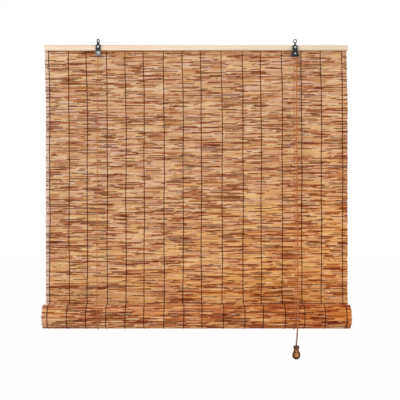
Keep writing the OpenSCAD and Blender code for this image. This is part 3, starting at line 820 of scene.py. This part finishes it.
def spreadReeds(tree, given):
    half = times(tree, given["Length"], 0.5)
    ends = {"Start": triple(tree, times(tree, half, -1.0)), "End": triple(tree, half)}
    line = put(tree, "GeometryNodeCurvePrimitiveLine", ends).outputs[0]
    line = put(tree, "GeometryNodeResampleCurve", {"Curve": line, "Count": given["Segments"]}).outputs[0]
    spread = put(tree, "GeometryNodeInstanceOnPoints", {"Points": given["Rows"], "Instance": line}).outputs[0]
    return put(tree, "GeometryNodeRealizeInstances", {"Geometry": spread}).outputs[0]


def endShift(tree, given, number):
    # each end of a reed has a random shift of its own
    whole = put(tree, "FunctionNodeFloatToInt", {"Float": number}).outputs[0]
    mix = put(tree, "ShaderNodeMix", data_type="FLOAT")
    feed(tree, mix.inputs[0], put(tree, "GeometryNodeSplineParameter").outputs["Factor"])
    for end in (0, 1):
        inputs = {"ID": whole, "Seed": plus(tree, given["Seed"], float(end))}
        chance = put(tree, "FunctionNodeRandomValue", inputs, data_type="FLOAT").outputs[1]
        feed(tree, mix.inputs[2 + end], chance)    # 2 and 3 are the plain number sockets
    return times(tree, minus(tree, mix.outputs[0], 0.5), given["Uneven ends"])


def reedTree():
    tree, given, keys = startTree("reedsOnPoints", [
        ("Rows", "geometry"), ("Length", "size"), ("Radius", "size"), ("Segments", "count"),
        ("Sides", "count"), ("Wander", "size"), ("Thick and thin", "size"), ("Uneven ends", "size"),
        ("Seed", "count"), ("Finish", "finish")])
    number = pointValue(tree, "reedNumber")
    x = axesOf(tree, put(tree, "GeometryNodeInputPosition").outputs[0])["X"]
    seed = times(tree, given["Seed"], reedWaves["seedStep"])
    waveAt = triple(tree, times(tree, x, reedWaves["rate"]), times(tree, number, reedWaves["apart"]), seed)
    wave = axesOf(tree, noise(tree, waveAt, detail=reedWaves["detail"], output=1))
    reach = times(tree, given["Wander"], 2.0)    # a noise spans half a unit each way
    offset = triple(tree, endShift(tree, given, number), times(tree, minus(tree, wave[0], 0.5), reach),
                    times(tree, minus(tree, wave[1], 0.5), reach))
    reeds = put(tree, "GeometryNodeSetPosition", {"Geometry": spreadReeds(tree, given), "Offset": offset})
    girthAt = triple(tree, times(tree, x, reedGirths["rate"]), times(tree, number, reedGirths["apart"]),
                     plus(tree, seed, reedGirths["seedShift"]))
    girth = minus(tree, noise(tree, girthAt, detail=reedGirths["detail"]), 0.5)
    swell = timesPlus(tree, girth, times(tree, given["Thick and thin"], 2.0), 1.0)
    profile = put(tree, "GeometryNodeCurvePrimitiveCircle", {"Resolution": given["Sides"], "Radius": 1.0})
    capture = put(tree, "GeometryNodeCaptureAttribute", {"Geometry": profile.outputs[0]})
    capture.capture_items.new("FLOAT", "Around")
    tree.links.new(put(tree, "GeometryNodeSplineParameter").outputs["Factor"], capture.inputs[1])
    mesh = put(tree, "GeometryNodeCurveToMesh", {
        "Curve": reeds.outputs[0], "Profile Curve": capture.outputs[0],
        "Scale": times(tree, given["Radius"], swell), "Fill Caps": True}).outputs[0]
    angle = minus(tree, times(tree, capture.outputs[1], 2 * math.pi), pointValue(tree, "outside"))
    skin = triple(tree, sums(tree, "COSINE", angle), sums(tree, "SINE", angle), number)
    mesh = put(tree, "GeometryNodeStoreNamedAttribute", {"Geometry": mesh, "Name": "reedSkin", "Value": skin},
               data_type="FLOAT_VECTOR", domain="POINT").outputs[0]
    endTree(tree, mesh, given["Finish"])
    return tree, keys


def pointMesh(name, points):
    mesh = bpy.data.meshes.new(name)
    mesh.from_pydata(points, [], [])
    return mesh


def reedPoints(name, places):
    # each place is a point and the direction that faces away from the mat there
    mesh = pointMesh(name, [point for point, outward in places])
    numbers = mesh.attributes.new("reedNumber", "FLOAT", "POINT")
    numbers.data.foreach_set("value", [float(k) for k in range(len(places))])
    sides = mesh.attributes.new("outside", "FLOAT", "POINT")
    sides.data.foreach_set("value", [math.atan2(-outward.z, -outward.y) for point, outward in places])
    return mesh


def roundSides(piece, endFacing=0.7):
    # the long sides are smooth and the cut ends flat
    mesh = piece.data
    mesh.polygons.foreach_set("use_smooth", [abs(face.normal.x) < endFacing for face in mesh.polygons])
    mesh.update()


# Flat mat: its reeds fill the box of the solid that they replace
matSizes = {"rows": matReedLook["rows"], "segments": 48, "sides": 8, "wander": 0.00012, "thickAndThin": 0.1,
            "unevenEnds": 0.0024, "radiusShare": 1.0, "seed": 5, "lean": 0.0034, "leanOver": 0.25,
            "short": 0.0024, "shift": -0.0012}
towardsRoom = Vector((0, -1, 0))
matLow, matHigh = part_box("reed_mat")
reedWidth = matHigh.y - matLow.y
reedY = (matHigh.y + matLow.y) / 2
rowPitch = (matHigh.z - matLow.z - reedWidth) / (matSizes["rows"] - 1)
rowZs = [matHigh.z - reedWidth / 2 - k * rowPitch for k in range(matSizes["rows"])]
matReedFinish = reedMaterial("matReed", matReedLook)
rollReedFinish = reedMaterial("rollReed", rollReedLook)
reedGrowth, reedKeys = reedTree()


def leanAt(z):
    # the mat hangs a little to the right of its head
    share = min(max((matHigh.z - z) / matSizes["leanOver"], 0.0), 1.0)
    return matSizes["lean"] * share * share * (3 - 2 * share)


def growReeds(name, places, sizes, finish):
    piece = growPiece(name, reedPoints(name + "Rows", places), reedGrowth, reedKeys, {
        "Length": matHigh.x - matLow.x - sizes["short"], "Radius": reedWidth / 2 * sizes["radiusShare"],
        "Segments": sizes["segments"], "Sides": sizes["sides"], "Wander": sizes["wander"],
        "Thick and thin": sizes["thickAndThin"], "Uneven ends": sizes["unevenEnds"], "Seed": sizes["seed"],
        "Finish": finish})
    roundSides(piece)
    return piece


matPlaces = [(Vector((matSizes["shift"] + leanAt(z), reedY, z)), towardsRoom) for z in rowZs]
reedMat = growReeds("reedMat", matPlaces, matSizes, matReedFinish)
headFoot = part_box("front_batten")[0].z
squashUp(reedMat)
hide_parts("reed_mat")
print("flat mat grown:", len(reedMat.data.polygons), "faces")

# Roll: the same reeds wound inwards, the outermost starting at the back and going down
rollSizes = {"outer": 0.042, "turnPitch": 0.006, "turns": 4.675, "segments": 34, "sides": 8,
             "wander": 0.0002, "thickAndThin": 0.12, "unevenEnds": 0.003, "radiusShare": 0.99, "seed": 17,
             "boundTurns": 0.95, "threadShift": 0.0058, "short": 0.0, "shift": 0.002}


def windRoll(sizes):
    # turn reached after each further reed, from the length of a spiral measured along its middle line
    middle = sizes["outer"] - reedWidth / 2
    places = []
    while True:
        length = (len(places) + 0.5) * rowPitch
        rest = middle ** 2 - 2 * sizes["turnPitch"] * length / (2 * math.pi)
        turn = (middle - math.sqrt(max(rest, 0.0))) / sizes["turnPitch"]
        if rest <= 0 or turn > sizes["turns"]:
            return places
        radius = middle - sizes["turnPitch"] * turn
        angle = 2 * math.pi * turn
        outward = Vector((0, math.cos(angle), -math.sin(angle)))
        place = rollAxis + outward * radius
        place.x = sizes["shift"]
        places.append({"turn": turn, "place": place, "outward": outward})


rollPlaces = windRoll(rollSizes)
reedRoll = growReeds("reedRoll", [(p["place"], p["outward"]) for p in rollPlaces], rollSizes, rollReedFinish)
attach(reedRoll, "roll")
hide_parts("mat_roll")
print("roll wound from", len(rollPlaces), "reeds:", len(reedRoll.data.polygons), "faces")


# Tree: one slanted loop of yarn round the reed at each point
def stitchTree():
    tree, given, keys = startTree("yarnLoops", [
        ("Crossings", "geometry"), ("Loop depth", "size"), ("Loop height", "size"), ("Yarn width", "size"),
        ("Yarn thickness", "size"), ("Segments", "count"), ("Sides", "count"), ("Finish", "finish")])
    ring = put(tree, "GeometryNodeCurvePrimitiveCircle", {"Resolution": given["Segments"], "Radius": 1.0})
    upright = {"Geometry": ring.outputs[0], "Rotation": (0.0, math.radians(90), 0.0)}
    ring = put(tree, "GeometryNodeTransform", upright)
    oval = triple(tree, 1.0, given["Loop depth"], given["Loop height"])
    ring = put(tree, "GeometryNodeTransform", {"Geometry": ring.outputs[0], "Scale": oval})
    yarn = put(tree, "GeometryNodeCurvePrimitiveCircle", {"Resolution": given["Sides"], "Radius": 0.5})
    flat = triple(tree, given["Yarn width"], given["Yarn thickness"], 1.0)
    yarn = put(tree, "GeometryNodeTransform", {"Geometry": yarn.outputs[0], "Scale": flat})
    sweep = {"Curve": ring.outputs[0], "Profile Curve": yarn.outputs[0]}
    loop = put(tree, "GeometryNodeCurveToMesh", sweep).outputs[0]
    loop = put(tree, "GeometryNodeSetShadeSmooth", {"Geometry": loop}).outputs[0]
    turn = put(tree, "GeometryNodeInputNamedAttribute", {"Name": "turn"}, data_type="QUATERNION")
    rotation = next(socket for socket in turn.outputs if socket.enabled and socket.type == "ROTATION")
    loops = put(tree, "GeometryNodeInstanceOnPoints", {
        "Points": given["Crossings"], "Instance": loop, "Rotation": rotation}).outputs[0]
    endTree(tree, loops, given["Finish"])
    return tree, keys


yarnSizes = {"depth": 0.00268, "height": 0.00236, "width": 0.0028, "thickness": 0.001, "segments": 8,
             "sides": 5, "slant": 14, "slantSpread": 6, "sway": 0.0007,
             "swayWaves": [(1.0, 0.071, 41), (0.6, 0.19, 97)]}    # height, turn per row and per metre
yarnFinish = yarnMaterial("bindingYarn", yarnLook)
stitchGrowth, stitchKeys = stitchTree()


def bindReeds(name, crossings):
    # each crossing is a place and the direction that faces away from the mat
    chance = random.Random(name)
    base = pointMesh(name + "Crossings", [place for place, outward in crossings])
    turns = []
    for place, outward in crossings:
        faceOut = Quaternion((1, 0, 0), math.atan2(-outward.z, -outward.y))
        slant = math.radians(yarnSizes["slant"] + chance.uniform(-1, 1) * yarnSizes["slantSpread"])
        turns += list(Quaternion(outward, slant) @ faceOut)
    base.attributes.new("turn", "QUATERNION", "POINT").data.foreach_set("value", turns)
    return growPiece(name, base, stitchGrowth, stitchKeys, {
        "Loop depth": yarnSizes["depth"], "Loop height": yarnSizes["height"],
        "Yarn width": yarnSizes["width"], "Yarn thickness": yarnSizes["thickness"],
        "Segments": yarnSizes["segments"], "Sides": yarnSizes["sides"], "Finish": yarnFinish})


threadNodes = sorted(name for name in frame["nodes"] if name.startswith("warp_thread_"))
threadXs = [middleOf(node).x for node in threadNodes]


def swayOf(x, row):
    waves = yarnSizes["swayWaves"]
    return yarnSizes["sway"] * sum(high * math.sin(row * perRow + x * perMetre)
                                   for high, perRow, perMetre in waves)


for number, (node, x) in enumerate(zip(threadNodes, threadXs), 1):
    crossings = [(Vector((x + leanAt(z) + swayOf(x, row), reedY, z)), towardsRoom)
                 for row, z in enumerate(rowZs) if z < headFoot - rowPitch / 3]
    thread = bindReeds(f"warpThread_{number:02d}", crossings)
    squashUp(thread)
    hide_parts(node)

rollCrossings = []
for x in threadXs:
    for row, spot in enumerate(rollPlaces):
        if spot["turn"] < rollSizes["boundTurns"]:
            sway = rollSizes["threadShift"] + swayOf(x, matSizes["rows"] + row)
            rollCrossings.append((Vector((x + sway, spot["place"].y, spot["place"].z)), spot["outward"]))
rollThreads = bindReeds("rollThreads", rollCrossings)
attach(rollThreads, "roll")
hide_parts("roll_threads")
print("mat bound by", len(threadXs), "threads")


# Pull tassel, turned on a lathe with a bore for the cords and a cup for their knot
tasselSizes = {
    "height": 0.043, "bulb": 0.0132, "collar": 0.0098, "neck": 0.0074, "bore": 0.0027, "cup": 0.0055,
    "cupDepth": 0.015, "steps": 64, "segments": 56, "sharpAngle": 40,
    "grooves": (0.185, 0.225), "grooveDepth": 0.0005, "grooveWidth": 0.012,
    "outline": [    # share of the height from the top, and share of a radius
        (0.0, 0.82, "collar"), (0.06, 1.0, "collar"), (0.14, 1.0, "collar"), (0.28, 1.0, "neck"),
        (0.41, 0.69, "bulb"), (0.51, 0.87, "bulb"), (0.6, 0.97, "bulb"), (0.7, 1.0, "bulb"),
        (0.8, 0.97, "bulb"), (0.89, 0.82, "bulb"), (0.96, 0.62, "bulb"), (1.0, 0.47, "bulb")],
}


def tasselRadius(share):
    sizes = tasselSizes
    keys = [(at, wide * sizes[part]) for at, wide, part in sizes["outline"]]
    for (a, ra), (b, rb) in zip(keys, keys[1:]):
        if share <= b:
            radius = ra + (rb - ra) * (1 - math.cos(math.pi * (share - a) / (b - a))) / 2
            break
    for groove in sizes["grooves"]:
        radius -= sizes["grooveDepth"] * math.exp(-((share - groove) / sizes["grooveWidth"]) ** 2)
    return radius


def lathePiece(name, middle, outline, sizes, finish):
    # the outline is a closed ring of radius and height pairs
    points, faces = [], []
    count, segments = len(outline), sizes["segments"]
    for s in range(segments):
        angle = 2 * math.pi * s / segments
        for radius, z in outline:
            points.append((middle.x + radius * math.cos(angle), middle.y + radius * math.sin(angle), z))
    for s in range(segments):
        n = (s + 1) % segments
        for k in range(count):
            m = (k + 1) % count
            faces.append((s * count + k, s * count + m, n * count + m, n * count + k))
    mesh = bpy.data.meshes.new(name)
    mesh.from_pydata(points, [], faces)
    mesh.polygons.foreach_set("use_smooth", [True] * len(faces))
    mesh.set_sharp_from_angle(angle=math.radians(sizes["sharpAngle"]))
    return addObject(name, mesh, finish)


def makeTassel():
    sizes = tasselSizes
    low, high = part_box("pull_tassel")
    top, foot = high.z, low.z
    outside = [(tasselRadius(k / sizes["steps"]), top - sizes["height"] * k / sizes["steps"])
               for k in range(sizes["steps"] + 1)]
    inside = [(sizes["cup"], foot), (sizes["cup"], foot + sizes["cupDepth"]),
              (sizes["bore"], foot + sizes["cupDepth"]), (sizes["bore"], top)]
    finish = tasselMaterial("turnedWood", tasselLook, top, sizes["height"])
    piece = lathePiece("pullTassel", middleOf("pull_tassel"), (outside + inside)[::-1], sizes, finish)
    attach(piece, "pull")
    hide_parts("pull_tassel")
    return piece


knotSizes = {"spread": 0.00105, "rise": 0.0013, "steps": 120, "closed": 0.985}


def makeTasselKnot():
    middle = middleOf("tassel_knot")
    route = []
    for k in range(knotSizes["steps"] + 1):
        t = 2 * math.pi * k / knotSizes["steps"] * knotSizes["closed"]
        route.append(middle + Vector((knotSizes["spread"] * (math.sin(t) + 2 * math.sin(2 * t)),
                                      knotSizes["spread"] * (math.cos(t) - 2 * math.cos(2 * t)),
                                      -knotSizes["rise"] * math.sin(3 * t))))
    piece = sweepCords("tasselKnot", [route])
    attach(piece, "pull")
    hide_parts("tassel_knot")
    return piece


tassel = makeTassel()
tasselKnot = makeTasselKnot()
print("pull tassel turned")


# Finishes of the solids that are shown as they are
bareBelow = {"nowhere": (-0.3, -0.4), "leftFoot": (-0.0095, -0.0135)}    # where lacquer is rubbed through
solidFinishes = [
    (battenMaterial("planedSoftwood", battenLook), ["front_batten", "rear_batten", "bottom_rod"]),
    (lacquerMaterial("blackLacquer", lacquerLook, *bareBelow["nowhere"]),
     ["lock_case", "left_eye", "lock_eye", "cam_pin"]),
    (lacquerMaterial("rubbedLacquer", lacquerLook, *bareBelow["leftFoot"]), ["left_case"]),
    (zincMaterial("zincPlate", zincLook),
     ["batten_nails", "left_sheave", "lock_sheave", "left_axle", "lock_axle", "left_screw", "lock_screw",
      "lock_cam", "left_cord_anchor", "right_cord_anchor"]),
]
for finish, nodes in solidFinishes:
    for node in nodes:
        solid = frame["nodes"][node]
        solid.data.materials.clear()
        solid.data.materials.append(finish)
print("solids dressed:", sum(len(nodes) for finish, nodes in solidFinishes))


# Studio: a white floor far below the pull's lowest reach, white surroundings and soft lamps
studio = {"floorZ": -2.75, "floorSize": 60.0, "floorWhite": 0.95, "floorRough": 0.9, "shadowShare": 0.02,
          "skyLight": 0.5}
lamps = {
    "keyLamp": {"place": (-1.3, -3.0, 1.5), "aim": (0, 0, -0.5), "size": 2.2, "watts": 62},
    "fillLamp": {"place": (1.9, -2.8, 0.3), "aim": (0, 0, -0.5), "size": 2.0, "watts": 26},
    "backLamp": {"place": (0.6, 2.8, 1.2), "aim": (0, 0, -0.4), "size": 2.2, "watts": 50},
}


def seenDirectly(tree):
    path = put(tree, "ShaderNodeLightPath").outputs
    seen = sums(tree, "MAXIMUM", path["Is Camera Ray"], path["Is Glossy Ray"])
    return sums(tree, "MAXIMUM", seen, path["Is Transmission Ray"])


def makeFloor():
    half = studio["floorSize"] / 2
    mesh = bpy.data.meshes.new("studioFloor")
    corners = [(-half, -half), (half, -half), (half, half), (-half, half)]
    mesh.from_pydata([(x, y, studio["floorZ"]) for x, y in corners], [], [(0, 1, 2, 3)])
    material, tree, shader = startMaterial("paleFloor")
    shader.inputs["Base Color"].default_value = (studio["floorWhite"],) * 3 + (1.0,)
    shader.inputs["Roughness"].default_value = studio["floorRough"]
    glow = put(tree, "ShaderNodeEmission", {"Color": (1, 1, 1, 1), "Strength": 1.0}).outputs[0]
    share = times(tree, seenDirectly(tree), 1 - studio["shadowShare"])
    mixed = put(tree, "ShaderNodeMixShader", {"Fac": share})
    tree.links.new(shader.outputs[0], mixed.inputs[1])
    tree.links.new(glow, mixed.inputs[2])
    tree.links.new(mixed.outputs[0], tree.nodes["Material Output"].inputs["Surface"])
    addObject("studioFloor", mesh, material)


def makeSky():
    world = bpy.data.worlds.new("studioWhite")
    world.use_nodes = True
    tree = world.node_tree
    background = tree.nodes["Background"]
    background.inputs["Color"].default_value = (1, 1, 1, 1)
    feed(tree, background.inputs["Strength"], remap(tree, seenDirectly(tree), 0, 1, studio["skyLight"], 1.0))
    scene.world = world


def makeLamp(name, lamp):
    light = bpy.data.lights.new(name, "AREA")
    light.energy = lamp["watts"]
    light.size = lamp["size"]
    item = bpy.data.objects.new(name, light)
    item.location = lamp["place"]
    item.rotation_euler = (Vector(lamp["aim"]) - Vector(lamp["place"])).to_track_quat("-Z", "Y").to_euler()
    scene.collection.objects.link(item)


makeFloor()
makeSky()
for name, lamp in lamps.items():
    makeLamp(name, lamp)
print("studio lit")
